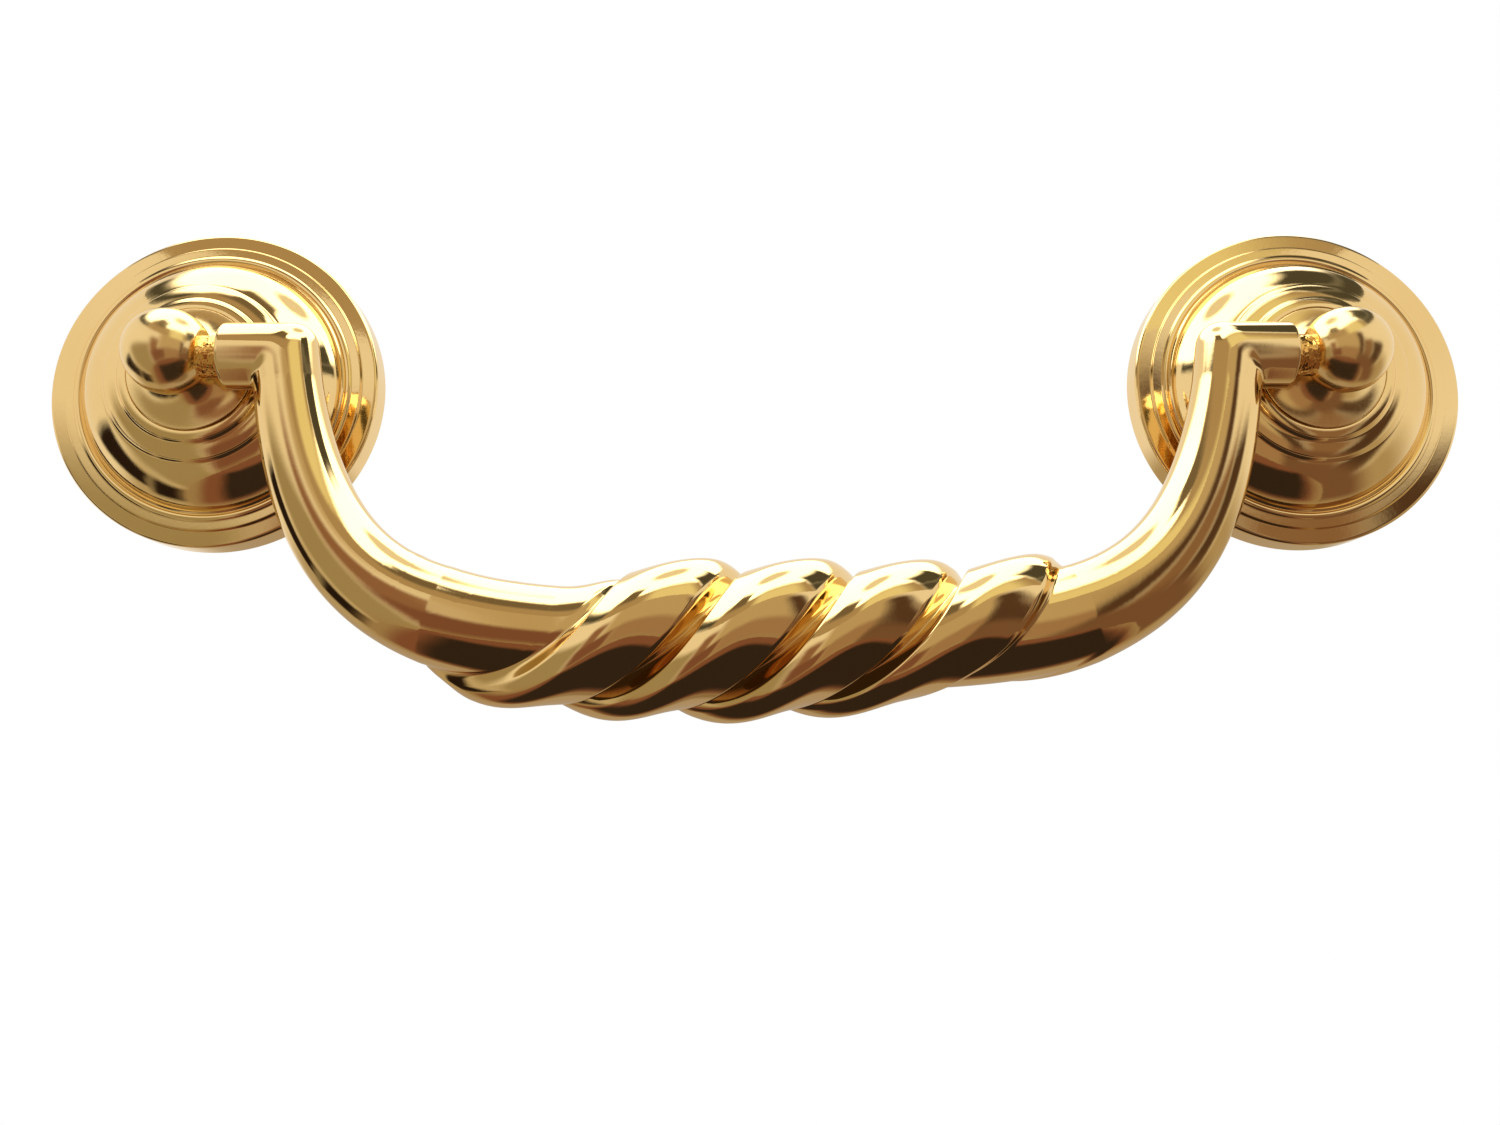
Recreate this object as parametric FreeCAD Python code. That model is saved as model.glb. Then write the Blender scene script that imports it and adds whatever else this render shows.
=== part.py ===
import FreeCAD, Part
import math
import os

# Drop bail pull for a drawer: two turned roses, two ball-headed posts and a swinging bail
# whose grip is a rope twist. Millimetres. +X runs along the grip, +Z is up, the front faces
# -Y and the drawer face is the plane y = 0. The origin lies midway between the two posts.

# Fixing
hole_centres = 96.0
screw_core_radius = 1.65
screw_hole_depth = 7.0

# Rose, from its rim inwards: the width of each ring and its rise towards the front
rose_radius = 14.4
rim_wall = 2.5
rim_round = 0.3
rim_band_width = 1.05
rim_band_rise = 0.05
shelf_step_width = 0.1
shelf_step_rise = 0.25
shelf_width = 0.75
bead_width = 0.66
bead_height = 0.28
dome_gap_width = 0.19
dome_gap_rise = 0.15
dome_width = 3.2
dome_rise = 3.25
dome_bulge = 0.5
cove_width = 0.45
cove_rise = 0.42
cove_dip = 0.09
middle_band_width = 1.05
middle_band_rise = 0.35
inner_band_width = 0.8
inner_band_rise = 0.12
band_crown = 0.05

# Hollow back of the rose
back_rim_width = 1.6
back_wall = 1.3
boss_radius = 4.6
boss_recess = 0.3

# Post
post_foot_edge = 0.35
post_foot_clearance = 0.05
post_seat_depth = 0.25
tenon_radius = 3.0
tenon_clearance = 0.05
tenon_recess = 0.3
ball_radius = 3.5
ball_stand_off = 11.76
ball_flat = 3.0
waist_radius = 2.45
flare_dip = 0.4

# Pivot
pivot_drop = 0.45
pin_radius = 1.7
pin_clearance = 0.05
pin_reach = 4.4
pin_end_gap = 0.4
pin_rooted = 1.0

# Arms and swan-neck legs of the bail
neck_gap = 1.85
arm_radius = 2.7
arm_length = 4.78
arm_edge_round = 0.25
corner_inner_round = 0.2
corner_outer_round = 1.85
bail_drop = 23.7
leg_tilt = 9.2
leg_pull = 21.35
grip_pull = 23.15
leg_radius = 2.69
bar_radius = 3.95
bar_full_at = 0.533

# Rope twist of the grip: a left-handed twist, measured along X from the middle
rope_radius = 6.45
rope_fattest_x = -1.3
rope_thinning = 0.0015
strand_count = 3
lead = 26.5
first_groove_x = -5.5
groove_lean = 1.95
groove_width = 1.25
lip_share = 0.75
crest_lean = 0.19
strand_starts = (-15.9, -29.5, -20.0)
strand_rises = (10.6, 8.0, 4.5)
strand_ends = (29.0, 29.5, 12.9)
strand_falls = (12.9, 4.5, 4.3)
slim_side_start = -0.3
slim_side_length = 22.0
slim_side_loss = 0.73

# Sections that the bail's surface is drawn through
edge_sections = 4
arm_sections = 3
corner_sections = 13
leg_sections = 10
rope_sections = 44
rope_from = 0.5
lobe_points = 7
groove_points = 4

AXIS_START = FreeCAD.Vector(0, 0, 0)
FRONT = FreeCAD.Vector(0, -1, 0)
TURNING_AXIS = FreeCAD.Vector(0, 1, 0)
ALONG = FreeCAD.Vector(1, 0, 0)
UP = FreeCAD.Vector(0, 0, 1)

post_x = hole_centres / 2
bore_radius = pin_radius + pin_clearance
pivot = FreeCAD.Vector(0, -ball_stand_off, -pivot_drop)
flat_x = post_x - ball_flat
arm_end_x = flat_x - neck_gap
corner_x = arm_end_x - arm_length
rope_pitch = lead / strand_count

# Each corner of the bail is turned about a hub close under its inner side
tilt = math.radians(leg_tilt)
hub_to_arm = corner_inner_round + arm_radius
hub_to_leg = corner_inner_round + leg_radius
corner_to_leg = (hub_to_arm - hub_to_leg * math.sin(tilt)) / math.cos(tilt)
leg_start_x = corner_x - corner_to_leg * math.sin(tilt)
hub_x = leg_start_x + hub_to_leg * math.cos(tilt)


def turned(profile):
    """A solid turned about the post's axis from the edges of a closed profile."""
    face = Part.Face(Part.Wire(profile))
    return face.revolve(AXIS_START, TURNING_AXIS, 360)


class Profile:
    """Walks along a turned profile: radius from the axis, height along it."""

    def __init__(self, radius, height, place):
        self.place = place
        self.first = (radius, height)
        self.now = (radius, height)
        self.edges = []

    def line_to(self, radius, height):
        start = self.place(*self.now)
        self.edges.append(Part.makeLine(start, self.place(radius, height)))
        self.now = (radius, height)

    def arc_to(self, radius, height, bulge):
        """An arc that stands off its chord by `bulge`, outwards where that is positive."""
        run = radius - self.now[0]
        rise = height - self.now[1]
        chord = math.hypot(run, rise)
        middle_radius = self.now[0] + run / 2 + bulge * rise / chord
        middle_height = self.now[1] + rise / 2 - bulge * run / chord
        middle = self.place(middle_radius, middle_height)
        arc = Part.Arc(self.place(*self.now), middle, self.place(radius, height))
        self.edges.append(arc.toShape())
        self.now = (radius, height)

    def step_in(self, width, rise):
        self.line_to(self.now[0] - width, self.now[1] + rise)

    def arc_in(self, width, rise, bulge):
        self.arc_to(self.now[0] - width, self.now[1] + rise, bulge)

    def close(self):
        self.line_to(*self.first)
        return self.edges


def above_drawer(radius, height):
    """Places a profile point of a rose or post: its height is above the drawer face."""
    return FreeCAD.Vector(radius, -height, 0)


def rounding(size):
    """How far a quarter round of this radius stands off its chord."""
    return size * (1 - math.sqrt(0.5))


def rose_front():
    """The rings of the rose from the rim's back edge in to the seat of the post."""
    front = Profile(rose_radius, 0, above_drawer)
    front.line_to(rose_radius, rim_wall - rim_round)
    front.arc_in(rim_round, rim_round, rounding(rim_round))
    front.step_in(rim_band_width, rim_band_rise)
    front.step_in(shelf_step_width, shelf_step_rise)
    front.step_in(shelf_width, 0)
    front.arc_in(bead_width, 0, bead_height)
    front.step_in(dome_gap_width, dome_gap_rise)
    front.arc_in(dome_width, dome_rise, dome_bulge)
    front.arc_in(cove_width, cove_rise, -cove_dip)
    front.arc_in(middle_band_width, middle_band_rise, band_crown)
    front.arc_in(cove_width, cove_rise, -cove_dip)
    front.arc_in(inner_band_width, inner_band_rise, band_crown)
    return front


rose_seat_radius, rose_seat_rim = rose_front().now
seat_height = rose_seat_rim - post_seat_depth
dome_foot_radius = (rose_radius - rim_round - rim_band_width - shelf_step_width
                    - shelf_width - bead_width - dome_gap_width)
dome_foot_height = rim_wall + rim_band_rise + shelf_step_rise + dome_gap_rise


def make_rose():
    """A turned rose with a hollow back, a seated rim and a boss round the post's tenon."""
    rose = rose_front()
    hole_radius = tenon_radius + tenon_clearance
    rose.line_to(rose_seat_radius, seat_height)
    rose.line_to(hole_radius, seat_height)
    rose.line_to(hole_radius, boss_recess)
    rose.line_to(boss_radius, boss_recess)
    rose.line_to(boss_radius, seat_height - back_wall)
    dome_top_radius = dome_foot_radius - dome_width
    rose.line_to(dome_top_radius - back_wall, dome_foot_height + dome_rise - back_wall)
    rose.line_to(dome_foot_radius - back_wall, dome_foot_height - back_wall)
    rose.line_to(rose_radius - back_rim_width, rim_wall - back_wall)
    rose.line_to(rose_radius - back_rim_width, 0)
    return turned(rose.close())


def make_post(side):
    """A ball-headed post: tenon, foot, flared waist and ball, bored across for the bail."""
    foot_radius = rose_seat_radius - post_foot_clearance
    foot_top = seat_height + post_foot_edge
    waist_height = ball_stand_off - math.sqrt(ball_radius ** 2 - waist_radius ** 2)
    post = Profile(0, tenon_recess, above_drawer)
    post.line_to(tenon_radius, tenon_recess)
    post.line_to(tenon_radius, seat_height)
    post.line_to(foot_radius, seat_height)
    post.line_to(foot_radius, foot_top)
    post.arc_to(waist_radius, waist_height, -flare_dip)
    ball_front = Part.Arc(
        above_drawer(waist_radius, waist_height),
        above_drawer(ball_radius, ball_stand_off),
        above_drawer(0, ball_stand_off + ball_radius))
    post.edges.append(ball_front.toShape())
    post.now = (0, ball_stand_off + ball_radius)
    solid = turned(post.close())
    solid.translate(FreeCAD.Vector(side * post_x, 0, 0))
    return solid.cut([ball_side(side), pin_bore(side), screw_hole(side)])


def ball_side(side):
    """What is faced off the ball on the side of the bail."""
    size = 2 * ball_radius
    block = Part.makeBox(size, size, size)
    near = side * flat_x
    low_x = near if side < 0 else near - size
    waist = ball_stand_off - math.sqrt(ball_radius ** 2 - ball_flat ** 2) - pin_clearance
    block.translate(FreeCAD.Vector(low_x, -waist - size, -ball_radius))
    return block


def pin_bore(side):
    """The blind cross bore in the ball, a running fit on the bail's pin."""
    depth = pin_reach + pin_end_gap
    mouth = pivot + ALONG * (side * flat_x)
    start = mouth - ALONG * side
    return Part.makeCylinder(bore_radius, depth + 1, start, ALONG * side)


def screw_hole(side):
    """The blind screw hole in the post's tenon, open at the back."""
    mouth = FreeCAD.Vector(side * post_x, -tenon_recess, 0)
    return Part.makeCylinder(screw_core_radius, screw_hole_depth, mouth, FRONT)


def bail_station(share):
    """Centre, inward normal and plain radius at a share of the half bail, -1 to 1 from the
    left leg's start to the right one's. Each half is one cubic curve to the middle."""
    t = 1 - abs(share)
    down = FreeCAD.Vector(math.sin(tilt), 0, -math.cos(tilt))
    leg_start = FreeCAD.Vector(-corner_x, 0, 0) + down * corner_to_leg
    leg_end = leg_start + down * leg_pull
    middle = FreeCAD.Vector(0, 0, pivot_drop - bail_drop)
    grip_end = middle - ALONG * grip_pull
    centre = (leg_start * (1 - t) ** 3 + leg_end * (3 * t * (1 - t) ** 2)
              + grip_end * (3 * t ** 2 * (1 - t)) + middle * t ** 3)
    way = ((leg_end - leg_start) * (1 - t) ** 2 + (grip_end - leg_end) * (2 * t * (1 - t))
           + (middle - grip_end) * t ** 2)
    if share > 0:
        centre.x = -centre.x
        way.z = -way.z
    way.normalize()
    inward = FreeCAD.Vector(-way.z, 0, way.x)
    radius = leg_radius + (bar_radius - leg_radius) * min(1, t / bar_full_at)
    return centre + pivot, inward, radius


def groove_slope(angle):
    """How far a groove moves along X for each radian of turn."""
    return lead / (2 * math.pi) - groove_lean * math.sin(angle)


def groove_angle(x, groove):
    """The angle, from the front and up, at which a numbered groove passes x. A groove runs
    at a steady lead and leans so that it lies flatter below than above."""
    bottom_x = first_groove_x + groove * rope_pitch
    x = min(max(x, min(strand_starts)), max(strand_ends))
    angle = 2 * math.pi * (x - bottom_x) / lead - math.pi / 2
    for _ in range(30):
        reached = bottom_x + lead * (angle + math.pi / 2) / (2 * math.pi)
        error = reached + groove_lean * math.cos(angle) - x
        angle -= error / groove_slope(angle)
    return angle


def eased(share):
    share = min(1, max(0, share))
    return share * share * (3 - 2 * share)


def strand_height(x, strand):
    """How fully a strand stands out of the bar at x, 0 to 1."""
    begun = eased((x - strand_starts[strand]) / strand_rises[strand])
    ended = eased((strand_ends[strand] - x) / strand_falls[strand])
    return begun * ended


def crest(share, angle):
    """The height of a strand's back, 0 to 1, at a share of its width. Its highest line lies
    to one side of the middle above the grip and to the other side below."""
    leaned = share - crest_lean * math.sin(angle) * math.sin(math.pi * share)
    return math.sin(math.pi * leaned)


def fullness(x, angle):
    """What is left of the rope's height over the bar: all of it, but less and less towards
    the underside on the right, where the rope runs out."""
    run_out = eased((x - slim_side_start) / slim_side_length)
    return 1 - slim_side_loss * run_out * (1 - math.sin(angle)) / 2


def half_groove(angle, radius):
    """Half the angle that a groove of the set width takes up in a section."""
    return groove_width / 2 * math.hypot(1 / radius, 1 / groove_slope(angle))


def bail_section(share):
    """One closed row of points round the bail, as a strip for each strand and each groove."""
    centre, inward, radius = bail_station(share)
    x = centre.x
    full = max(radius, rope_radius - rope_thinning * (x - rope_fattest_x) ** 2)
    lip_height = lip_share * (full - radius)
    grooves = [groove_angle(x, groove) for groove in range(strand_count + 1)]
    heights = [strand_height(x, strand) for strand in range(strand_count)]
    halves = [half_groove(angle, radius + lip_height) for angle in grooves]

    def at(height, angle):
        reach = radius + height * fullness(x, angle)
        return centre + FRONT * (reach * math.cos(angle)) + inward * (reach * math.sin(angle))

    strips = []
    for strand in range(strand_count):
        lip = heights[strand] * lip_height
        crown = heights[strand] * (full - radius - lip_height)
        upper = grooves[strand] - halves[strand]
        lower = grooves[strand + 1] + halves[strand + 1]
        across = [(q, upper + (lower - upper) * q) for q in shares(lobe_points)]
        strips.append([at(lip + crown * crest(q, angle), angle) for q, angle in across])
        below = heights[(strand + 1) % strand_count] * lip_height
        floor = grooves[strand + 1]
        half = halves[strand + 1]
        near = [at(lip * wall(q), floor + half * q) for q in reversed(shares(groove_points))]
        far = [at(below * wall(q), floor - half * q) for q in shares(groove_points)]
        strips.append(near + far[1:])
    return strips


def shares(count):
    return [i / (count - 1) for i in range(count)]


def wall(share):
    """The height of a groove's wall from its floor, 0, to its lip, 1."""
    return 1 - math.cos(math.pi / 2 * share)


def curve_through(points, parameters):
    curve = Part.BSplineCurve()
    curve.interpolate(Points=points, Parameters=parameters)
    return curve


def strip_face(rows, places):
    """A face through rows of points: each row becomes a curve, then so do the rows' poles."""
    across = [curve_through(row, shares(len(row))) for row in rows]
    columns = zip(*[curve.getPoles() for curve in across])
    along = [curve_through(list(column), places) for column in columns]
    surface = Part.BSplineSurface()
    surface.buildFromPolesMultsKnots(
        [list(row) for row in zip(*[curve.getPoles() for curve in along])],
        along[0].getMultiplicities(), across[0].getMultiplicities(),
        along[0].getKnots(), across[0].getKnots(),
        False, False, along[0].Degree, across[0].Degree)
    return surface.toShape()


def skin(sections, places):
    """Surface through a row of sections, one face for each strip of them."""
    return [strip_face(rows, places) for rows in zip(*sections)]


def corner_reach(slope):
    """How far a corner's outer side stands from the hub, in a direction this far above level:
    the straight side of the leg or the arm, or the round between the two."""
    leg_side = hub_to_leg + leg_radius
    arm_side = hub_to_arm + arm_radius
    rise = arm_side - corner_outer_round
    run = (leg_side - corner_outer_round - rise * math.sin(tilt)) / math.cos(tilt)
    round_start = math.atan2(
        rise + corner_outer_round * math.sin(tilt), run + corner_outer_round * math.cos(tilt))
    if slope <= round_start:
        return leg_side / math.cos(slope - tilt)
    if slope >= math.atan2(arm_side, run):
        return arm_side / math.sin(slope)
    beside = run * math.cos(slope) + rise * math.sin(slope)
    return beside + math.sqrt(corner_outer_round ** 2 + beside ** 2 - run ** 2 - rise ** 2)


def ring(centre, depth, upward, angles):
    """A closed row of points on an oval, `depth` from front to middle."""
    return [[centre + FRONT * (depth * math.cos(angle)) + upward * math.sin(angle)
             for angle in strip] for strip in angles]


def corner_section(side, turn, angles):
    """A row of points round a corner, from the leg's end of it, turn 0, to the arm's, 1."""
    slope = tilt + (math.pi / 2 - tilt) * turn
    outward = ALONG * (-side * math.cos(slope)) + UP * math.sin(slope)
    reach = corner_reach(slope)
    hub = pivot + ALONG * (side * hub_x) - UP * hub_to_arm
    centre = hub + outward * ((reach + corner_inner_round) / 2)
    depth = leg_radius + (arm_radius - leg_radius) * turn
    return ring(centre, depth, outward * ((reach - corner_inner_round) / 2), angles)


def arm_section(side, x, radius, angles):
    """A row of points round an arm, this far from the bail's middle."""
    return ring(pivot + ALONG * (side * x), radius, UP * radius, angles)


def make_end(side, angles):
    """The skin of one end of the bail: corner, straight arm, edge round and end face."""
    turns = shares(corner_sections)
    steps = shares(arm_sections)
    corner = [corner_section(side, turn, angles) for turn in turns]
    edge_x = arm_end_x - arm_edge_round
    arm = [arm_section(side, hub_x + (edge_x - hub_x) * step, arm_radius, angles)
           for step in steps]
    edge = []
    for share in shares(edge_sections):
        x = edge_x + arm_edge_round * math.sin(math.pi / 2 * share)
        radius = arm_radius - arm_edge_round * wall(share)
        edge.append(arm_section(side, x, radius, angles))
    rim = [curve_through(strip, shares(len(strip))).toShape() for strip in edge[-1]]
    faces = skin(corner, turns) + skin(arm, steps) + skin(edge, shares(edge_sections))
    return faces + [Part.Face(Part.Wire(rim))]


def angles_round(section, share):
    """The angle of each point of a section, from the front and towards its inward side."""
    centre, inward, _ = bail_station(share)
    return [[math.atan2((point - centre).dot(inward), (point - centre).dot(FRONT))
             for point in strip] for strip in section]


def make_pin(side):
    """The pivot pin of one arm, rooted a little way into it."""
    root = pivot + ALONG * (side * (arm_end_x - pin_rooted))
    length = pin_rooted + neck_gap + pin_reach
    return Part.makeCylinder(pin_radius, length, root, ALONG * side)


def make_bail():
    """The whole bail, one casting from pin to pin: both legs and the rope grip, one strip of
    surface for each strand and groove, then an arm and a pin at each end."""
    leg_step = (1 - rope_from) / leg_sections
    places = [-1 + leg_step * i for i in range(leg_sections)]
    places += [-rope_from + 2 * rope_from * i / rope_sections for i in range(rope_sections)]
    places += [rope_from + leg_step * i for i in range(leg_sections + 1)]
    sections = [bail_section(place) for place in places]
    faces = skin(sections, places)
    for side, section in ((-1, sections[0]), (1, sections[-1])):
        faces += make_end(side, angles_round(section, side))
    shell = Part.makeShell(faces)
    shell.sewShape()
    return Part.Solid(shell).fuse([make_pin(-1), make_pin(1)])


def save(name, shape):
    solid = shape.Solids[0]
    solid.exportStep("parts/" + name + ".step")
    print(name, len(shape.Solids), solid.isValid(), round(solid.Volume, 2))


def main():
    os.makedirs("parts", exist_ok=True)
    for name, side in (("left", -1), ("right", 1)):
        rose = make_rose()
        rose.translate(FreeCAD.Vector(side * post_x, 0, 0))
        save("rose_" + name, rose)
        save("post_" + name, make_post(side))
    save("bail", make_bail())


main()
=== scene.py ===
import bpy
import math
import numpy as np
from mathutils import Matrix


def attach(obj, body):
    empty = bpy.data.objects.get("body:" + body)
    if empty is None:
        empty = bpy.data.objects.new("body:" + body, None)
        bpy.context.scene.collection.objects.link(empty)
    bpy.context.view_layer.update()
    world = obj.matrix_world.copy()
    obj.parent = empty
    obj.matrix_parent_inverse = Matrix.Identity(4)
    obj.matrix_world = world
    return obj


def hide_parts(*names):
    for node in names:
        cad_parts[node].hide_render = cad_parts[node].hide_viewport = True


# Looks of a drop bail pull in polished gold-coloured brass: two turned roses, two ball-headed
# posts and a swan-neck bail with a rope twist. The shapes are worked out in millimetres in the
# part's own frame, where -Y is the front and +Z is up, and go into the meshes in metres.

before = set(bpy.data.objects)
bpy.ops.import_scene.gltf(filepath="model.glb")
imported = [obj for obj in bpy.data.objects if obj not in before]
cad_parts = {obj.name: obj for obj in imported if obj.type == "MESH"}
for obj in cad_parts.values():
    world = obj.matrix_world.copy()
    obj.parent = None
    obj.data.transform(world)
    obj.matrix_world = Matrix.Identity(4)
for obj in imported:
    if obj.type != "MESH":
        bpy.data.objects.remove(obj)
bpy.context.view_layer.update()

MM = 0.001

# How close the profiles come to an axis before their pole: in millimetres, in radians short of
# the ball's top, and as a share of the screw hole's radius. A rounding takes up to 0.45 of a run
NEAR_AXIS = 0.02
NEAR_TOP = 0.003
POLE_SHARE = 0.01
MOST_OF_A_RUN = 0.45

# Post, turned about an axis along Y at POST_X on either side
POST_X = 48.0
BALL_STAND_OFF = 11.76
BALL_RADIUS = 3.5
BALL_FLAT = 3.0
ABOVE_WAIST = 0.3
WAIST_RADIUS = 2.45
FLARE_DIP = 0.4
TENON_RADIUS = 3.0
TENON_RECESS = 0.3
FOOT_EDGE = 0.35
SCREW_CORE_RADIUS = 1.65
SCREW_HOLE_DEPTH = 7.0
SCREW_PITCH = 0.7
THREAD_DEPTH = 0.3
THREAD_LEAD_IN = 0.4
THREAD_ROWS = 120
BALL_ROWS = 90
POST_COLUMNS = 160
FIT = 0.05

# Rose, turned about its post's axis
ROSE_RADIUS = 14.4
RIM_WALL = 2.5
SEAT_HEIGHT = 7.26
SEAT_RADIUS = 5.4
BOSS_RADIUS = 4.6
ROSE_COLUMNS = 240

# The rose's front from the back edge of the rim inwards: each item is a width inwards, a rise,
# the bulge of that run and the rounding of the corner it ends in
ROSE_RINGS = [
    (0.0, RIM_WALL - 0.3, 0, 0.02), (0.3, 0.3, 0.088, 0.05),
    (1.05, 0.05, 0, 0.07), (0.1, 0.25, 0, 0.06), (0.75, 0, 0, 0.05),
    (0.66, 0, 0.17, 0.05), (0.19, 0.15, 0, 0.06), (3.2, 3.25, 0.5, 0.1),
    (0.45, 0.42, -0.09, 0.08), (1.05, 0.35, 0.05, 0.1), (0.45, 0.42, -0.09, 0.08),
    (0.8, 0.12, 0.05, 0.08)]

# The post's seat, the bore, the boss and the hollow behind: each item is a radius, a height
# above the drawer, a bulge and a rounding
ROSE_BACK = [
    (SEAT_RADIUS, SEAT_HEIGHT, 0, 0.02), (TENON_RADIUS + FIT, SEAT_HEIGHT, 0, 0.05),
    (TENON_RADIUS + FIT, TENON_RECESS, 0, 0.1), (BOSS_RADIUS, TENON_RECESS, 0, 0.1),
    (BOSS_RADIUS, 5.96, 0, 0.3), (6.85, 4.9, 0, 0.4), (10.05, 1.65, 0, 0.4),
    (12.8, 1.2, 0, 0.3), (12.8, 0, 0, 0.1), (ROSE_RADIUS, 0, 0, 0)]

# Bail, with its pins' axis along X through PIVOT
PIVOT_DROP = 0.45
PIN_RADIUS = 1.7
PIN_END_X = 49.4
ARM_RADIUS = 2.7
ARM_END_X = 43.15
CORNER_X = 38.37
CORNER_OUTER_ROUND = 1.85
CORNER_INNER_ROUND = 0.2
BAIL_DROP = 23.7
TILT = math.radians(9.2)
LEG_PULL = 21.35
GRIP_PULL = 23.15
LEG_RADIUS = 2.69
BAR_RADIUS = 3.95
BAR_FULL_AT = 0.533
LEG_SHARE = 0.46
LEG_ROWS = 64
GRIP_ROWS = 220

# Rope twist: three strands, each with its own start and end along X
ROPE_RADIUS = 6.45
ROPE_FATTEST_X = -1.3
ROPE_THINNING = 0.0015
LEAD = 26.5
FIRST_GROOVE_X = -5.5
GROOVE_LEAN = 1.95
GROOVE_WIDTH = 1.4
LIP_SHARE = 0.6
CREST_LEAN = 0.19
STRAND_STARTS = (-15.9, -29.5, -20.0)
STRAND_RISES = (10.6, 8.0, 4.5)
STRAND_ENDS = (29.0, 29.5, 12.9)
STRAND_FALLS = (12.9, 4.5, 4.3)
SLIM_SIDE_START = -0.3
SLIM_SIDE_LENGTH = 22.0
SLIM_SIDE_LOSS = 0.73

# Finish: the brass's deep and light tint, the deeper orange tint of the pins past the arms, the
# shares between which the roughness drifts, and the ripple and the lumps, whose heights are in
# millimetres and whose number is to the metre
DEEP_BRASS = (0.86, 0.615, 0.27, 1)
LIGHT_BRASS = (0.90, 0.67, 0.32, 1)
NECK_BRASS = (0.80, 0.45, 0.12, 1)
SMOOTHEST, ROUGHEST = 0.6, 1.6
RIPPLE_HEIGHT = 0.03
LUMPS, LUMP_STRENGTH, LUMP_HEIGHT = 700.0, 0.9, 0.6
NECK_EDGE = 0.1

# Camera and floor, in millimetres and degrees
LENS = 30.168
PITCH, YAW, ROLL = 10.4268, 0.3376, -0.1952
EYE = (-1.3147, -109.257, -35.4775)
FLOOR_HALF, FLOOR_DROP = 6000.0, 250.0

# Studio, in millimetres about its heart; the wobble bends the edges of what is on its walls
STUDIO_HEART = np.array([0.0, -12.0, -12.0])
SKY_REACH, BOWL_REACH = 130.0, 90.0
WOBBLES, ROUND_WOBBLE, FLAT_WOBBLE = 18.0, 16.0, 6.0
NO_LIMIT = 400
ALL = (-NO_LIMIT, NO_LIMIT)

PIVOT = np.array([0.0, -BALL_STAND_OFF, -PIVOT_DROP])
FRONT = np.array([0.0, -1.0, 0.0])
HUB_TO_ARM = CORNER_INNER_ROUND + ARM_RADIUS
HUB_TO_LEG = CORNER_INNER_ROUND + LEG_RADIUS
CORNER_TO_LEG = (HUB_TO_ARM - HUB_TO_LEG * math.sin(TILT)) / math.cos(TILT)
LEG_START_X = CORNER_X - CORNER_TO_LEG * math.sin(TILT)
HUB_X = LEG_START_X + HUB_TO_LEG * math.cos(TILT)


def smooth_mesh(name, points, faces, body, node):
    """Makes one smooth piece from points in millimetres and a table of face corners."""
    mesh = bpy.data.meshes.new(name)
    mesh.from_pydata((points * MM).tolist(), [], faces)
    mesh.polygons.foreach_set("use_smooth", np.ones(len(mesh.polygons), bool))
    mesh.update()
    piece = bpy.data.objects.new(name, mesh)
    bpy.context.scene.collection.objects.link(piece)
    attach(piece, body)
    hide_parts(node)
    return piece


def grid_faces(rows, columns):
    """Four-cornered faces of a grid whose columns close on themselves."""
    row = np.arange(rows - 1)[:, None] * columns
    here = np.arange(columns)[None, :]
    after = (here + 1) % columns
    corners = np.stack([row + here, row + after, row + columns + after, row + columns + here], -1)
    return corners.reshape(-1, 4).tolist()


def capped(points):
    """Points and faces of a skin of closed rows, with a pole at the middle of each end row
    and a fan of triangles from that row to it."""
    rows, columns = points.shape[:2]
    poles = np.stack([points[0].mean(0), points[-1].mean(0)])
    here = np.arange(columns)
    after = (here + 1) % columns
    last, count = (rows - 1) * columns, rows * columns
    faces = grid_faces(rows, columns)
    faces += np.stack([after, here, 0 * here + count], -1).tolist()
    faces += np.stack([last + here, last + after, 0 * here + count + 1], -1).tolist()
    return np.concatenate([points.reshape(-1, 3), poles]), faces


def softened(corners, spacing=0.25, fine=0.02):
    """A profile of straight runs and bulged arcs with each corner rounded off.

    Every item is (radius, height, bulge of the run that leads there, rounding). An arc stands
    off its chord by its bulge, a run's points crowd towards its ends by a cosine, and a corner
    is replaced by a quadratic curve that leaves and joins its runs one rounding away."""
    runs = []
    for (r0, h0, _, _), (r1, h1, bulge, _) in zip(corners[:-1], corners[1:]):
        chord = np.array([r1 - r0, h1 - h0])
        length = np.hypot(*chord)
        t = np.linspace(0, 1, max(6, int(length / fine)))[:, None]
        off = np.array([chord[1], -chord[0]]) / length
        runs.append(np.array([r0, h0]) + chord * t + off * (4 * bulge * t * (1 - t)))
    path = [runs[0][:1]]
    for i, run in enumerate(runs):
        start = corners[i][3] if i else 0
        stop = corners[i + 1][3] if i + 1 < len(runs) else 0
        along = np.concatenate([[0], np.cumsum(np.hypot(*np.diff(run, axis=0).T))])
        length = along[-1]
        most = MOST_OF_A_RUN * length
        start, stop = min(start, most), min(stop, most)
        kept_length = length - start - stop
        crowd = 0.5 - 0.5 * np.cos(np.linspace(0, np.pi, 4 + int(kept_length / spacing)))
        pick = start + kept_length * crowd
        kept = np.stack([np.interp(pick, along, run[:, k]) for k in (0, 1)], 1)
        if i:
            before, corner, behind = path[-1][-1], run[0], kept[0]
            t = np.linspace(0, 1, 6)[1:-1, None]
            path.append(before * (1 - t) ** 2 + 2 * corner * t * (1 - t) + behind * t ** 2)
        path.append(kept)
    return np.concatenate(path)


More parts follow.
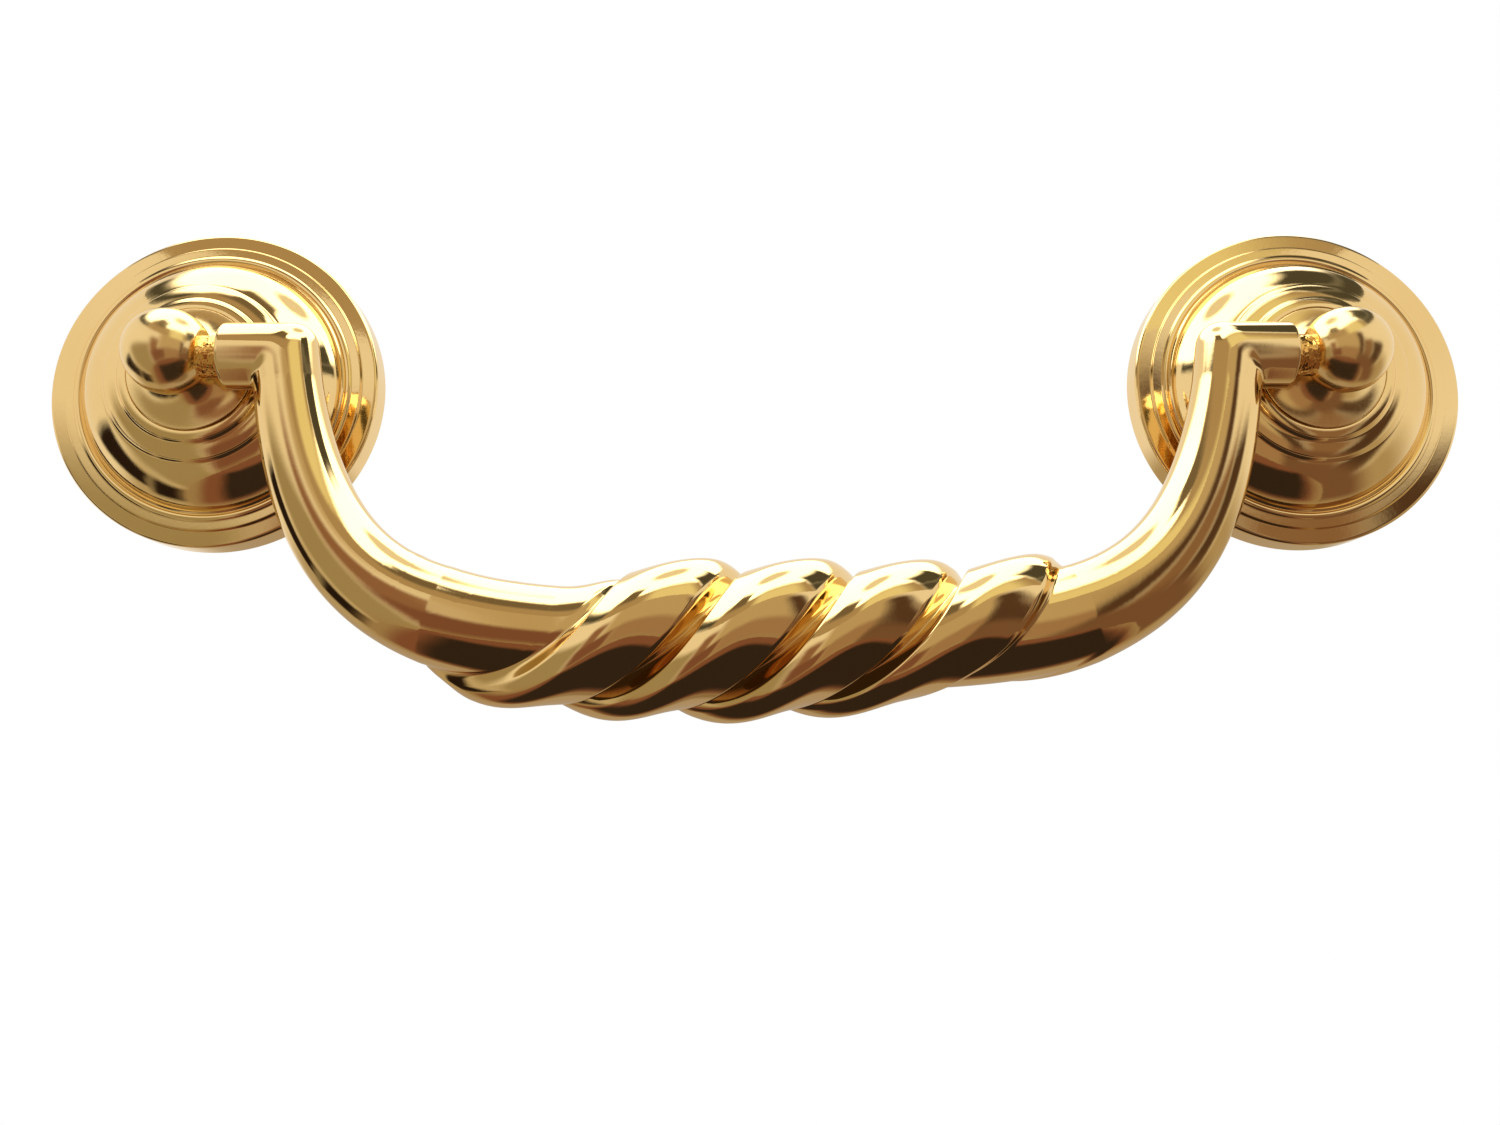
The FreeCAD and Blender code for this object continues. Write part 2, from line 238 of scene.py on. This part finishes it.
def ring_walk(start, rings):
    """Turns rings, each a width inwards, a rise, a bulge and a rounding, into corners, each
    the sum of the widths and rises up to it."""
    radius, height = start
    corners = [(radius, height, 0, 0)]
    for width, rise, bulge, rounding in rings:
        radius, height = radius - width, height + rise
        corners.append((radius, height, bulge, rounding))
    return corners


def turned(profile, centre_x, columns):
    """A profile of (radius, height above the drawer) turned about the post's axis: the radius
    times the cosine and sine of the turn, and the height straight out to the front."""
    turn = np.linspace(0, 2 * np.pi, columns, endpoint=False)
    radius, height = profile[:, :1], profile[:, 1:]
    x = centre_x + radius * np.cos(turn)
    z = radius * np.sin(turn)
    return np.stack([x, np.broadcast_to(-height, x.shape), z], -1)


def rose(side, name):
    """The turned rose: the profile runs from the back edge of the rim in over the rings to
    the post's seat, back out over the hollow behind, and closes on itself."""
    profile = softened(ring_walk((ROSE_RADIUS, 0.0), ROSE_RINGS) + ROSE_BACK)[:-1]
    points = turned(profile, side * POST_X, ROSE_COLUMNS)
    rows, columns = points.shape[:2]
    faces = grid_faces(rows, columns)
    last = (rows - 1) * columns
    here = np.arange(columns)
    after = (here + 1) % columns
    faces += np.stack([last + here, last + after, after, here], -1).tolist()
    return smooth_mesh(name, points.reshape(-1, 3), faces, "fixed_posts",
                       "rose_left" if side < 0 else "rose_right")


def bezier(t, a, b, c, d):
    """A cubic curve and its direction at t: four weighted points."""
    t = t[:, None]
    place = a * (1 - t) ** 3 + 3 * b * t * (1 - t) ** 2 + 3 * c * t ** 2 * (1 - t) + d * t ** 3
    way = (b - a) * (1 - t) ** 2 + (c - b) * (2 * t * (1 - t)) + (d - c) * t ** 2
    return place, way / np.linalg.norm(way, axis=1, keepdims=True)


def bail_stations(share):
    """Centre, inward normal and plain radius at shares -1 to 1 from leg start to leg start:
    one cubic from each, first down the leg and last along the grip, to the middle."""
    t = 1 - np.abs(share)
    down = np.array([math.sin(TILT), 0, -math.cos(TILT)])
    leg_start = np.array([-CORNER_X, 0, 0]) + down * CORNER_TO_LEG
    leg_end = leg_start + down * LEG_PULL
    middle = np.array([0, 0, PIVOT_DROP - BAIL_DROP])
    grip_end = middle - np.array([GRIP_PULL, 0, 0])
    centre, way = bezier(t, leg_start, leg_end, grip_end, middle)
    far = share > 0
    centre[far, 0] *= -1
    way[far, 2] *= -1
    inward = np.stack([-way[:, 2], 0 * t, way[:, 0]], 1)
    radius = LEG_RADIUS + (BAR_RADIUS - LEG_RADIUS) * np.minimum(1, t / BAR_FULL_AT)
    return centre + PIVOT, inward, radius


def groove_angle(x, groove, steps=30):
    """The angle at which a numbered groove passes x: it moves one lead a turn along X and
    leans by a cosine, and a few Newton steps turn that round."""
    bottom = FIRST_GROOVE_X + groove * LEAD / 3
    x = np.clip(x, min(STRAND_STARTS), max(STRAND_ENDS))
    angle = 2 * np.pi * (x - bottom) / LEAD - np.pi / 2
    for _ in range(steps):
        reached = bottom + LEAD * (angle + np.pi / 2) / (2 * np.pi) + GROOVE_LEAN * np.cos(angle)
        angle = angle - (reached - x) / (LEAD / (2 * np.pi) - GROOVE_LEAN * np.sin(angle))
    return angle


def eased(share):
    """0 below 0, 1 above 1, and between them three squares less two cubes of the share."""
    share = np.clip(share, 0, 1)
    return share * share * (3 - 2 * share)


def rope_rows(share, lobe=26, wall=7):
    """The bail's skin between its corners, one row of points for each share.

    A row runs round the section: across each strand, whose height over the bar is a lip plus
    half a sine wave that leans to one side above and to the other below, and down and up the
    two curved walls of each groove, which fall as a cosine. Each strand rises and falls away
    at its own ends, and the lower side of all three slims down towards the right."""
    centre, inward, radius = bail_stations(share)
    x = centre[:, 0]
    full = np.maximum(radius, ROPE_RADIUS - ROPE_THINNING * (x - ROPE_FATTEST_X) ** 2)
    lip_height = LIP_SHARE * (full - radius)
    grooves = [groove_angle(x, k) for k in range(4)]
    stands = [eased((x - start) / rise) * eased((end - x) / fall) for start, rise, end, fall
              in zip(STRAND_STARTS, STRAND_RISES, STRAND_ENDS, STRAND_FALLS)]
    slopes = [LEAD / (2 * np.pi) - GROOVE_LEAN * np.sin(g) for g in grooves]
    halves = [GROOVE_WIDTH / 2 * np.hypot(1 / (radius + lip_height), 1 / s) for s in slopes]
    angles, heights = [], []
    for k in range(3):
        q = np.linspace(0, 1, lobe)[None, :]
        upper = (grooves[k] - halves[k])[:, None]
        lower = (grooves[k + 1] + halves[k + 1])[:, None]
        lip = (stands[k] * lip_height)[:, None]
        crown = (stands[k] * (full - radius - lip_height))[:, None]
        angles.append(upper + (lower - upper) * q)
        leaned = q - CREST_LEAN * np.sin(angles[-1]) * np.sin(np.pi * q)
        heights.append(lip + crown * np.sin(np.pi * leaned))
        below = (stands[(k + 1) % 3] * lip_height)[:, None]
        floor, half = grooves[k + 1][:, None], halves[k + 1][:, None]
        down = np.linspace(1, 0, wall)[None, 1:]
        up = np.linspace(0, 1, wall)[None, 1:-1]
        angles += [floor + half * down, floor - half * up]
        heights += [lip * (1 - np.cos(np.pi / 2 * down)), below * (1 - np.cos(np.pi / 2 * up))]
    angle = np.concatenate(angles, 1)
    run_out = SLIM_SIDE_LOSS * eased((x - SLIM_SIDE_START) / SLIM_SIDE_LENGTH)[:, None]
    height = np.concatenate(heights, 1) * (1 - run_out * (1 - np.sin(angle)) / 2)
    reach = radius[:, None] + height
    return (centre[:, None, :] + (reach * np.cos(angle))[..., None] * FRONT
            + (reach * np.sin(angle))[..., None] * inward[:, None, :]), angle


def corner_rows(side, angle, count=40):
    """Sections of one corner, from the leg to the arm. Each is an oval in a plane through a
    hub close under the inner side. Its inner end keeps to a small round about that hub and
    its outer end to the straight sides of leg and arm and the round between them."""
    slope = np.linspace(TILT, np.pi / 2, count)
    leg_side, arm_side = HUB_TO_LEG + LEG_RADIUS, HUB_TO_ARM + ARM_RADIUS
    rise = arm_side - CORNER_OUTER_ROUND
    run = (leg_side - CORNER_OUTER_ROUND - rise * math.sin(TILT)) / math.cos(TILT)
    first = math.atan2(rise + CORNER_OUTER_ROUND * math.sin(TILT),
                       run + CORNER_OUTER_ROUND * math.cos(TILT))
    last = math.atan2(arm_side, run)
    beside = run * np.cos(slope) + rise * np.sin(slope)
    over_round = beside + np.sqrt(np.maximum(
        CORNER_OUTER_ROUND ** 2 + beside ** 2 - run ** 2 - rise ** 2, 0))
    reach = np.where(slope <= first, leg_side / np.cos(slope - TILT),
                     np.where(slope >= last, arm_side / np.sin(slope), over_round))
    depth = np.linspace(LEG_RADIUS, ARM_RADIUS, count)
    outward = np.stack([-side * np.cos(slope), 0 * slope, np.sin(slope)], 1)
    hub = PIVOT + np.array([side * HUB_X, 0, -HUB_TO_ARM])
    centre = hub + outward * ((reach + CORNER_INNER_ROUND) / 2)[:, None]
    half = (reach - CORNER_INNER_ROUND) / 2
    return (centre[:, None, :] + (depth[:, None] * np.cos(angle))[..., None] * FRONT
            + (half[:, None] * np.sin(angle))[..., None] * outward[:, None, :])


def round_rows(side, profile, angle):
    """Rings of a profile of (radius, distance from the middle) turned about the pivot."""
    radius, distance = profile[:, :1], profile[:, 1:]
    rows = np.stack([np.broadcast_to(side * distance, (len(profile), angle.shape[-1])),
                     -radius * np.cos(angle), radius * np.sin(angle)], -1)
    return rows + PIVOT


def bail():
    """The bail from pin to pin as one skin: pin, arm, corner, leg and rope, and the same
    again on the other side, with every row's points at the angles of the leg they join."""
    t = np.concatenate([np.linspace(0, LEG_SHARE, LEG_ROWS),
                        np.linspace(LEG_SHARE, 1, GRIP_ROWS)[1:]])
    share = np.concatenate([t - 1, (1 - t)[::-1][1:]])
    skin, angle = rope_rows(share)
    arm = softened([
        (ARM_RADIUS, HUB_X, 0, 0), (ARM_RADIUS, ARM_END_X, 0, 0.25),
        (PIN_RADIUS, ARM_END_X, 0, 0.12), (PIN_RADIUS, PIN_END_X, 0, 0.2),
        (NEAR_AXIS, PIN_END_X, 0, 0)])[1:]
    left = np.concatenate([corner_rows(-1, angle[:1])[1:], round_rows(-1, arm, angle[:1])[1:]])
    right = np.concatenate([corner_rows(1, angle[-1:])[1:], round_rows(1, arm, angle[-1:])[1:]])
    points, faces = capped(np.concatenate([left[::-1], skin, right]))
    return smooth_mesh("bail_gold", points, faces, "bail", "bail")


def post(side, name):
    """The ball-headed post: screw hole, tenon, foot, flared waist and ball turned about its
    axis. The hole's radius rises and falls by a cosine along a right-handed helix as a tapped
    thread, and the ball's side is held back to a flat plane where it faces the bail."""
    waist = BALL_STAND_OFF - math.sqrt(BALL_RADIUS ** 2 - WAIST_RADIUS ** 2)
    foot_radius = SEAT_RADIUS - FIT
    foot = softened([
        (SCREW_CORE_RADIUS, TENON_RECESS, 0, 0), (TENON_RADIUS, TENON_RECESS, 0, 0.1),
        (TENON_RADIUS, SEAT_HEIGHT, 0, 0.1), (foot_radius, SEAT_HEIGHT, 0, 0.05),
        (foot_radius, SEAT_HEIGHT + FOOT_EDGE, 0, 0.08), (WAIST_RADIUS, waist, -FLARE_DIP, 0)])
    start = math.asin(WAIST_RADIUS / BALL_RADIUS)
    up = np.linspace(np.pi - start, NEAR_TOP, BALL_ROWS)[1:]
    ball = np.stack([BALL_RADIUS * np.sin(up), BALL_STAND_OFF + BALL_RADIUS * np.cos(up)], 1)
    depth = np.linspace(SCREW_HOLE_DEPTH, 0, THREAD_ROWS + 1)[:-1]
    hole = np.stack([np.full(len(depth), SCREW_CORE_RADIUS), TENON_RECESS + depth], 1)
    bottom = hole[:1] * (POLE_SHARE, 1)
    points = turned(np.concatenate([bottom, hole, foot, ball]), side * POST_X, POST_COLUMNS)
    turn = np.linspace(0, 1, POST_COLUMNS, endpoint=False)
    crest = 0.5 + 0.5 * np.cos(2 * np.pi * (depth[:, None] / SCREW_PITCH - turn))
    cut = THREAD_DEPTH * crest * eased(depth / THREAD_LEAD_IN)[:, None] / SCREW_CORE_RADIUS
    axis = np.array([side * POST_X, 0.0])
    thread = points[1:len(depth) + 1]
    thread[..., [0, 2]] = axis + (thread[..., [0, 2]] - axis) * (1 + cut)[..., None]
    flat_x = POST_X - BALL_FLAT
    head = -points[..., 1] > waist + ABOVE_WAIST
    x = points[..., 0] * side
    points[..., 0] = np.where(head & (x < flat_x), side * flat_x, points[..., 0])
    points, faces = capped(points)
    return smooth_mesh(name, points, faces, "fixed_posts",
                       "post_left" if side < 0 else "post_right")


def facing_out(piece):
    """Turns the faces outwards if the mesh encloses a negative volume."""
    mesh = piece.data
    mesh.calc_loop_triangles()
    corners = np.zeros(len(mesh.loop_triangles) * 3, np.int64)
    mesh.loop_triangles.foreach_get("vertices", corners)
    places = np.zeros(len(mesh.vertices) * 3)
    mesh.vertices.foreach_get("co", places)
    a, b, c = places.reshape(-1, 3)[corners.reshape(-1, 3)].transpose(1, 0, 2)
    if np.einsum("ij,ij->i", a, np.cross(b, c)).sum() < 0:
        mesh.flip_normals()
    return piece


def noise(nodes, links, place, scale, detail):
    """A cloudy noise over a place, so many lumps to the metre."""
    cloud = nodes.new("ShaderNodeTexNoise")
    cloud.inputs["Scale"].default_value = scale
    cloud.inputs["Detail"].default_value = detail
    links.new(place, cloud.inputs["Vector"])
    return cloud


def polished_gold(name, roughness, patch, fine, bump):
    """Polished gold-coloured brass: a warm metal whose colour and roughness drift a little
    from place to place, with a very faint ripple left by the buffing wheel."""
    material = bpy.data.materials.new(name)
    material.use_nodes = True
    nodes, links = material.node_tree.nodes, material.node_tree.links
    shader = nodes["Principled BSDF"]
    shader.inputs["Metallic"].default_value = 1.0
    place = nodes.new("ShaderNodeTexCoord").outputs["Object"]
    drift = noise(nodes, links, place, patch, 4)
    tint = nodes.new("ShaderNodeValToRGB")
    deep, light = tint.color_ramp.elements
    deep.position, deep.color = 0.3, DEEP_BRASS
    light.position, light.color = 0.7, LIGHT_BRASS
    links.new(drift.outputs["Fac"], tint.inputs["Fac"])
    links.new(tint.outputs["Color"], shader.inputs["Base Color"])
    grain = noise(nodes, links, place, fine, 6)
    gloss = nodes.new("ShaderNodeMapRange")
    gloss.inputs["To Min"].default_value = roughness * SMOOTHEST
    gloss.inputs["To Max"].default_value = roughness * ROUGHEST
    links.new(grain.outputs["Fac"], gloss.inputs["Value"])
    links.new(gloss.outputs["Result"], shader.inputs["Roughness"])
    ripple = nodes.new("ShaderNodeBump")
    ripple.inputs["Strength"].default_value = bump
    ripple.inputs["Distance"].default_value = RIPPLE_HEIGHT * MM
    links.new(grain.outputs["Fac"], ripple.inputs["Height"])
    links.new(ripple.outputs["Normal"], shader.inputs["Normal"])
    return material


def rough_necks(material):
    """Gives the bail's pins, past each arm's end by the distance from the middle along X, coarse
    lumps and a deeper orange colour in place of the buffed skin."""
    nodes, links = material.node_tree.nodes, material.node_tree.links
    shader = nodes["Principled BSDF"]
    place = nodes.new("ShaderNodeTexCoord").outputs["Object"]
    split = nodes.new("ShaderNodeSeparateXYZ")
    links.new(place, split.inputs[0])
    distance = nodes.new("ShaderNodeMath")
    distance.operation = "ABSOLUTE"
    links.new(split.outputs["X"], distance.inputs[0])
    past = nodes.new("ShaderNodeMapRange")
    past.inputs["From Min"].default_value = (ARM_END_X - NECK_EDGE) * MM
    past.inputs["From Max"].default_value = (ARM_END_X + NECK_EDGE) * MM
    links.new(distance.outputs[0], past.inputs["Value"])
    deeper = nodes.new("ShaderNodeMix")
    deeper.data_type = "RGBA"
    links.new(past.outputs["Result"], deeper.inputs[0])
    links.new(shader.inputs["Base Color"].links[0].from_socket, deeper.inputs[6])
    # the pins past each arm's end take a deeper orange colour
    deeper.inputs[7].default_value = NECK_BRASS
    links.new(deeper.outputs[2], shader.inputs["Base Color"])
    lumps = noise(nodes, links, place, LUMPS, 3)
    height = nodes.new("ShaderNodeMath")
    height.operation = "MULTIPLY"
    links.new(lumps.outputs["Fac"], height.inputs[0])
    links.new(past.outputs["Result"], height.inputs[1])
    bump = nodes.new("ShaderNodeBump")
    bump.inputs["Strength"].default_value = LUMP_STRENGTH
    bump.inputs["Distance"].default_value = LUMP_HEIGHT * MM
    links.new(height.outputs[0], bump.inputs["Height"])
    links.new(shader.inputs["Normal"].links[0].from_socket, bump.inputs["Normal"])
    links.new(bump.outputs["Normal"], shader.inputs["Normal"])
    return material


def studio_wall(name, points, faces, is_round, wall, layers):
    """A piece of the studio that only polish shows, with soft-edged boxes of colour on it.

    Each layer is (range, range, softness, colour), painted over the ones before. On a round
    wall the ranges are azimuth and elevation in degrees, azimuth 0 at the front, and on a
    flat one they are X and Y in millimetres. A slow noise bends the edges a little."""
    mesh = bpy.data.meshes.new(name)
    mesh.from_pydata((points * MM).tolist(), [], faces)
    mesh.update()
    piece = bpy.data.objects.new(name, mesh)
    piece.location = (STUDIO_HEART * MM).tolist()
    bpy.context.scene.collection.objects.link(piece)
    for hidden in ("camera", "diffuse", "transmission", "volume_scatter", "shadow"):
        setattr(piece, "visible_" + hidden, False)
    material = bpy.data.materials.new(name)
    material.use_nodes = True
    nodes, links = material.node_tree.nodes, material.node_tree.links
    nodes.clear()

    def maths(operation, a, b=None):
        node = nodes.new("ShaderNodeMath")
        node.operation = operation
        for socket, value in zip(node.inputs, (a, b)):
            if isinstance(value, (int, float)):
                socket.default_value = value
            elif value is not None:
                links.new(value, socket)
        return node.outputs[0]

    def vector_maths(operation, a, b, c=None):
        node = nodes.new("ShaderNodeVectorMath")
        node.operation = operation
        for socket, value in zip(node.inputs, (a, b, c)):
            if isinstance(value, (int, float)):
                socket.default_value = (value,) * 3
            elif value is not None:
                links.new(value, socket)
        return node.outputs[0]

    place = nodes.new("ShaderNodeTexCoord").outputs["Object"]
    wobble = noise(nodes, links, place, WOBBLES, 2)
    bend = (ROUND_WOBBLE if is_round else FLAT_WOBBLE) * MM
    shift = vector_maths("MULTIPLY_ADD", wobble.outputs["Color"], bend, place)
    split = nodes.new("ShaderNodeSeparateXYZ")
    links.new(vector_maths("SUBTRACT", shift, bend / 2), split.inputs[0])
    x, y, z = split.outputs
    if is_round:
        level = maths("SQRT", maths("ADD", maths("MULTIPLY", x, x), maths("MULTIPLY", y, y)))
        across = maths("MULTIPLY", maths("ARCTAN2", x, maths("MULTIPLY", y, -1.0)), 180 / math.pi)
        along = maths("MULTIPLY", maths("ARCTAN2", z, level), 180 / math.pi)
    else:
        across, along = maths("DIVIDE", x, MM), maths("DIVIDE", y, MM)

    def inside(value, low, high, soft):
        """1 between two limits and 0 beyond, with soft edges."""
        mask = None
        for at, sign in ((low, 1), (high, -1)):
            if abs(at) == NO_LIMIT:
                continue
            edge = nodes.new("ShaderNodeMapRange")
            edge.interpolation_type = "SMOOTHSTEP"
            edge.inputs["From Min"].default_value = at - sign * soft
            edge.inputs["From Max"].default_value = at + sign * soft
            links.new(value, edge.inputs["Value"])
            side = edge.outputs["Result"]
            mask = side if mask is None else maths("MULTIPLY", mask, side)
        return mask

    base = nodes.new("ShaderNodeRGB")
    base.outputs[0].default_value = (*wall, 1)
    tone = base.outputs[0]
    for first, second, soft, colour in layers:
        masks = [inside(across, *first, soft), inside(along, *second, soft)]
        masks = [mask for mask in masks if mask is not None]
        mix = nodes.new("ShaderNodeMix")
        mix.data_type = "RGBA"
        links.new(masks[0] if len(masks) == 1 else maths("MULTIPLY", *masks), mix.inputs[0])
        links.new(tone, mix.inputs[6])
        mix.inputs[7].default_value = (*colour, 1)
        tone = mix.outputs[2]
    light = nodes.new("ShaderNodeEmission")
    links.new(tone, light.inputs["Color"])
    out = nodes.new("ShaderNodeOutputMaterial")
    links.new(light.outputs[0], out.inputs["Surface"])
    mesh.materials.append(material)


def round_wall(name, reach, low, high, wall, layers, rings=40, columns=96):
    """Part of a round tent about the studio's heart, from one elevation to another: the
    cosine and sine of elevation and turn, times the reach."""
    up = np.radians(np.linspace(low, high, rings))[:, None]
    turn = np.linspace(0, 2 * np.pi, columns, endpoint=False)[None, :]
    points = np.stack([np.cos(up) * np.cos(turn), np.cos(up) * np.sin(turn),
                       np.broadcast_to(np.sin(up), (rings, columns))], -1).reshape(-1, 3)
    studio_wall(name, points * reach, grid_faces(rings, columns), True, wall, layers)


def studio():
    """The studio round the pull: a window overhead between dark frames, a lower bowl with
    pale sides and a tan front, and a dark board under the grip with red-brown edges."""
    window, cream, pale = (3.0, 3.0, 2.9), (0.95, 0.90, 0.78), (0.93, 0.88, 0.80)
    straw, sand, clay = (0.90, 0.84, 0.52), (0.55, 0.44, 0.29), (0.50, 0.42, 0.29)
    khaki, fawn, linen = (0.46, 0.35, 0.22), (0.46, 0.37, 0.24), (0.46, 0.38, 0.30)
    hazel, tan, oak = (0.38, 0.32, 0.20), (0.38, 0.28, 0.17), (0.38, 0.25, 0.16)
    cork, russet, walnut = (0.36, 0.27, 0.17), (0.30, 0.16, 0.10), (0.27, 0.16, 0.095)
    earth, rust, brick = (0.24, 0.17, 0.10), (0.23, 0.10, 0.065), (0.22, 0.10, 0.065)
    umber, moss, olive = (0.20, 0.11, 0.07), (0.20, 0.155, 0.10), (0.085, 0.08, 0.06)
    bark, peat = (0.10, 0.055, 0.035), (0.09, 0.05, 0.03)
    coal, soot = (0.034, 0.023, 0.019), (0.022, 0.013, 0.011)
    round_wall("studio_sky", SKY_REACH, 10, 89, pale, [
        # the window overhead, the tan wall under it, a straw patch and a dark frame on that
        (ALL, (43, NO_LIMIT), 3, window),
        ((-62, 62), (-NO_LIMIT, 52), 4, khaki),
        ((6, 50), (-NO_LIMIT, 52), 8, straw),
        ((-56, -16), (46, 64), 4, moss),
        # bars beside the window, and its cream head
        ((62, 108), (40, 60), 4, olive),
        ((-104, -60), (35, 42), 3, olive),
        ((62, 114), (33, 42), 3, olive),
        (ALL, (79, NO_LIMIT), 3, cream),
    ])
    round_wall("studio_bowl", BOWL_REACH, -89, 30, pale, [
        # left side and front
        ((-80, -50), (-NO_LIMIT, 9), 5, hazel),
        ((-NO_LIMIT, -80), (-NO_LIMIT, -6), 5, clay),
        ((-49, -30), (-NO_LIMIT, 18), 5, russet),
        ((-29, 43), ALL, 8, sand),
        ((-48, -12), (-NO_LIMIT, -3), 5, brick),
        ((-12, 40), (-NO_LIMIT, -3), 6, oak),
        # right side
        ((38, 49), (-NO_LIMIT, 25), 4, bark),
        ((49, 65), (-NO_LIMIT, 12), 4, walnut),
        ((65, 79), (-NO_LIMIT, 8), 3, peat),
        ((79, NO_LIMIT), (-NO_LIMIT, 0), 6, fawn),
        # two dark doorways far left
        ((-97, -84), (-14, 4), 2, soot),
        ((-102, -83), (-32, -15), 3, soot),
        # the ground, the walls behind and the ground close under the pull
        (ALL, (-NO_LIMIT, -30), 6, tan),
        ((38, 106), (-42, -14), 6, umber),
        ((-NO_LIMIT, -118), (-56, -10), 6, linen),
        ((118, NO_LIMIT), (-56, -10), 6, linen),
        (ALL, (-NO_LIMIT, -56), 6, earth),
    ])
    board = np.array([(-74, -80, -48), (74, -80, -48), (74, 24, -48), (-74, 24, -48)], float)
    studio_wall("studio_board", board, [(0, 1, 2, 3)], False, cork, [
        ((-66, 68), (-74, 20), 6, rust),
        ((-50, 62), (-44, 16), 6, coal),
    ])


def floor():
    """A plain pale floor well under the pull."""
    half, height = FLOOR_HALF * MM, -FLOOR_DROP * MM
    mesh = bpy.data.meshes.new("floor")
    mesh.from_pydata([(-half, -half, height), (half, -half, height),
                      (half, half, height), (-half, half, height)], [], [(0, 1, 2, 3)])
    piece = bpy.data.objects.new("floor", mesh)
    bpy.context.scene.collection.objects.link(piece)
    material = bpy.data.materials.new("pale_floor")
    material.use_nodes = True
    shader = material.node_tree.nodes["Principled BSDF"]
    shader.inputs["Base Color"].default_value = (1, 1, 1, 1)
    shader.inputs["Roughness"].default_value = 0.9
    shader.inputs["Specular IOR Level"].default_value = 0.0
    mesh.materials.append(material)


def surroundings():
    """A plain white world at strength 1, which lights the pull softly from all sides."""
    world = bpy.data.worlds.new("studio")
    bpy.context.scene.world = world
    world.use_nodes = True
    world.node_tree.nodes["Background"].inputs["Color"].default_value = (1, 1, 1, 1)
    world.node_tree.nodes["Background"].inputs["Strength"].default_value = 1.0


def camera():
    """The photograph's viewing angle: a little below the pull, looking slightly up."""
    data = bpy.data.cameras.new("camera")
    data.sensor_width = 36.0
    data.lens = LENS
    data.clip_start = 0.01
    data.clip_end = 20.0
    eye = bpy.data.objects.new("camera", data)
    bpy.context.scene.collection.objects.link(eye)
    pitch, yaw, roll = (math.radians(a) for a in (PITCH, YAW, ROLL))
    forward = np.array([math.sin(yaw) * math.cos(pitch), math.cos(yaw) * math.cos(pitch),
                        math.sin(pitch)])
    level = np.array([math.cos(yaw), -math.sin(yaw), 0.0])
    upright = np.cross(level, forward)
    right = level * math.cos(roll) + upright * math.sin(roll)
    up = np.cross(right, forward)
    turn = np.eye(4)
    turn[:3, 0], turn[:3, 1], turn[:3, 2] = right, up, -forward
    turn[:3, 3] = np.array(EYE) * MM
    eye.matrix_world = Matrix(turn.tolist())
    bpy.context.scene.camera = eye


# Each gold has its roughness, its patches and its grain to the metre, and its ripple's strength
rose_gold = polished_gold("rose_gold", 0.065, 90.0, 2600.0, 0.10)
post_gold = polished_gold("post_gold", 0.15, 160.0, 3000.0, 0.06)
bail_gold = rough_necks(polished_gold("bail_gold", 0.045, 70.0, 2600.0, 0.06))

for side, word in ((-1, "left"), (1, "right")):
    facing_out(rose(side, "rose_gold_" + word)).data.materials.append(rose_gold)
    facing_out(post(side, "post_gold_" + word)).data.materials.append(post_gold)
facing_out(bail()).data.materials.append(bail_gold)

camera()
surroundings()
floor()
studio()

bpy.context.scene.view_settings.view_transform = "Standard"
